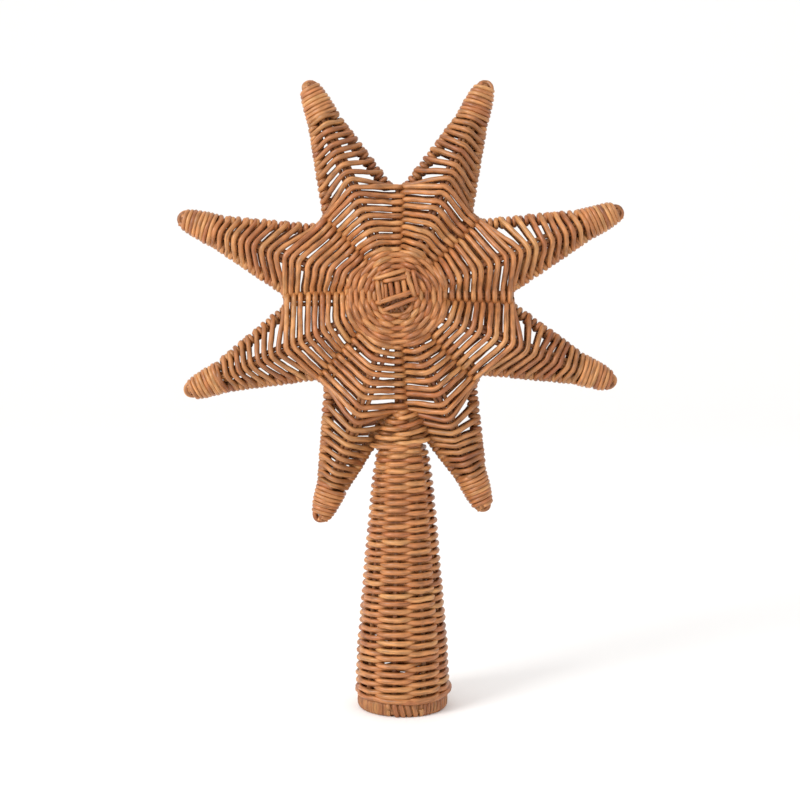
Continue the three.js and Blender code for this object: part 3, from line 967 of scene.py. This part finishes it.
# %% Collar, and the socket's weave as a piece
# Each line: height of the row, reach to the left and to the right, and rise at the right end.
COLLAR_ROWS = ((133.8, 15.2, 14.0, 1.6), (137.7, 13.0, 12.4, 2.6), (141.9, 10.3, 11.0, 2.8),
               (145.9, 7.0, 8.6, 2.4), (149.0, 3.4, 3.6, 0.5))

# Each line: share of the reach, share of the depth, and how much of the rise is done.
LEFT_STROKE = ((-1.0, 0.1, 0.1), (-0.93, 0.42, 0.06), (-0.7, 0.8, 0), (-0.35, 0.97, -0.05),
               (-0.05, 0.96, 0), (0.2, 0.8, 0), (0.34, 0.55, 0))
RIGHT_STROKE = ((-0.3, 0.55, -0.1), (-0.14, 0.8, -0.05), (0.06, 0.97, 0), (0.35, 0.97, 0.2),
                (0.7, 0.8, 0.6), (0.94, 0.5, 0.9), (1.0, 0.2, 1))
RIGHT_STROKE_UP = 1.2
STROKE_NUDGE = 0.25
COLLAR_STRAND = SOCKET_WEAVER - 0.12
COLLAR_STEP = 1.0

COLLAR_INSET = 0.4
CONE_ENDS_ABOVE_TOP = 6
COLLAR_THINS_FROM = 136
COLLAR_THINNING = 0.22

INNER_SHRINK = (0.84, 0.45, 1)
INNER_RISE = (0, 0, 1.5)
INNER_STEP = 1.4


def collar_strands():
    """Short rows that close the top of the socket and lie over the arms' inner edges."""
    strands = []
    for face in (-1, 1):
        for height, left, right, rise in COLLAR_ROWS:
            cone_height = min(height, TOP_HEIGHT + CONE_ENDS_ABOVE_TOP)
            deep = stake_radius(cone_height) + STAKE + SOCKET_WEAVER - COLLAR_INSET
            deep -= COLLAR_THINNING * max(0.0, height - COLLAR_THINS_FROM)
            for stroke, up in ((LEFT_STROKE, 0.0), (RIGHT_STROKE, RIGHT_STROKE_UP)):
                nudge = rng.normal(0, STROKE_NUDGE)
                route = [np.array([STAR_SIDE + x * (left if x < 0 else right), face * out * deep,
                                   height + up + nudge + rise * climb])
                         for x, out, climb in stroke]
                inner = [point * INNER_SHRINK + INNER_RISE for point in route]
                strands.append(strand_along(route, COLLAR_STEP, COLLAR_STRAND))
                strands.append(strand_along(inner, INNER_STEP, SOCKET_WEAVER))
    return strands


rattan_piece("socket_strands",
             [socket_strand(0), socket_strand(1), foot_strand()] + collar_strands(),
             "trunk_weave", weaver_finish)
print("socket woven,", len(COLLAR_ROWS), "rows of collar")

# %% [markdown]
# ## Rim
# The foot is a ring of stakes bound over and over with thin cane. On the left the binding is fine
# and close. In front a few broad wraps lean over it, and to the right they are a little narrower.

# %% Rim
RIM_IN = 16.4
RIM_CORE_MIDDLE = (FOOT_RADIUS + RIM_IN) / 2
RIM_HALF_WIDTH = (FOOT_RADIUS - RIM_IN) / 2 - 0.5
RIM_HALF_HEIGHT = RIM_HEIGHT / 2 - 0.5
RIM_ROUNDNESS = 0.62
RIM_CORE_GROW = -0.15
RIM_CORE_STEPS = 72
RIM_CORE_SIDES = 12
WRAP_POINTS = 16
CANE_ROUGH = 0.05
CANE_LOOSE = 0.03

# Each line: from and to in degrees round from the front, then in millimetres pitch, width, how far
# outside the core, thickness, and degrees of lean per millimetre of height.
RIM_CANES = ((-200, -17, 0.8, 0.84, 0.2, 0.7, 0.0),
             (-17, 24, 2.9, 2.5, 0.3, 1.5, 0.9),
             (24, 160, 2.2, 2.1, 0.2, 1.2, 0.0))


def rim_section(turn, grow):
    """A point of the ring's rounded section, and the way out of it."""
    c, s = math.cos(turn), math.sin(turn)
    x = math.copysign(abs(c) ** RIM_ROUNDNESS, c) * (RIM_HALF_WIDTH + grow)
    z = math.copysign(abs(s) ** RIM_ROUNDNESS, s) * (RIM_HALF_HEIGHT + grow)
    return x, z + RIM_HEIGHT / 2, c, s


def rim_cane(first, last, pitch, width, grow, thickness, lean):
    """Flat cane wound over the ring from one angle to another."""
    count = int(math.radians(last - first) * FOOT_RADIUS / pitch)
    route, ups = [], []
    for k in range(count * WRAP_POINTS + 1):
        wrap = k / WRAP_POINTS
        x, z, c, s = rim_section(2 * math.pi * wrap, grow)
        degrees = first + (last - first) * wrap / count - lean * (z - RIM_HEIGHT / 2)
        route.append(round_socket(degrees, RIM_CORE_MIDDLE + x, z))
        ups.append(round_socket(degrees, c, s))
    return {"route": np.array(route), "radius": width / 2, "flat": thickness / width,
            "ups": np.array(ups), "rough": CANE_ROUGH, "loose": CANE_LOOSE}


def rim_core():
    """The ring under the cane: the stakes' ends and what holds them, as one closed band."""
    corners = []
    for i in range(RIM_CORE_STEPS):
        for j in range(RIM_CORE_SIDES):
            x, z, _, _ = rim_section(2 * math.pi * j / RIM_CORE_SIDES, RIM_CORE_GROW)
            corners.append(round_socket(360 * i / RIM_CORE_STEPS, RIM_CORE_MIDDLE + x, z))
    corners = np.array(corners)
    index = np.arange(len(corners)).reshape(RIM_CORE_STEPS, RIM_CORE_SIDES)
    faces = []
    for i in range(RIM_CORE_STEPS):
        for j in range(RIM_CORE_SIDES):
            here, there = index[i], index[(i + 1) % RIM_CORE_STEPS]
            up = (j + 1) % RIM_CORE_SIDES
            faces.append([int(here[j]), int(there[j]), int(there[up]), int(here[up])])
    piece = linked_object("rim_core", grained_mesh("rim_core", corners, faces, corners), rod_finish)
    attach(piece, "root")


rim_core()
rattan_piece("rim_cane", [rim_cane(*line) for line in RIM_CANES], "rim",
             cane_finish)
print("rim bound with", len(RIM_CANES), "stretches of cane")
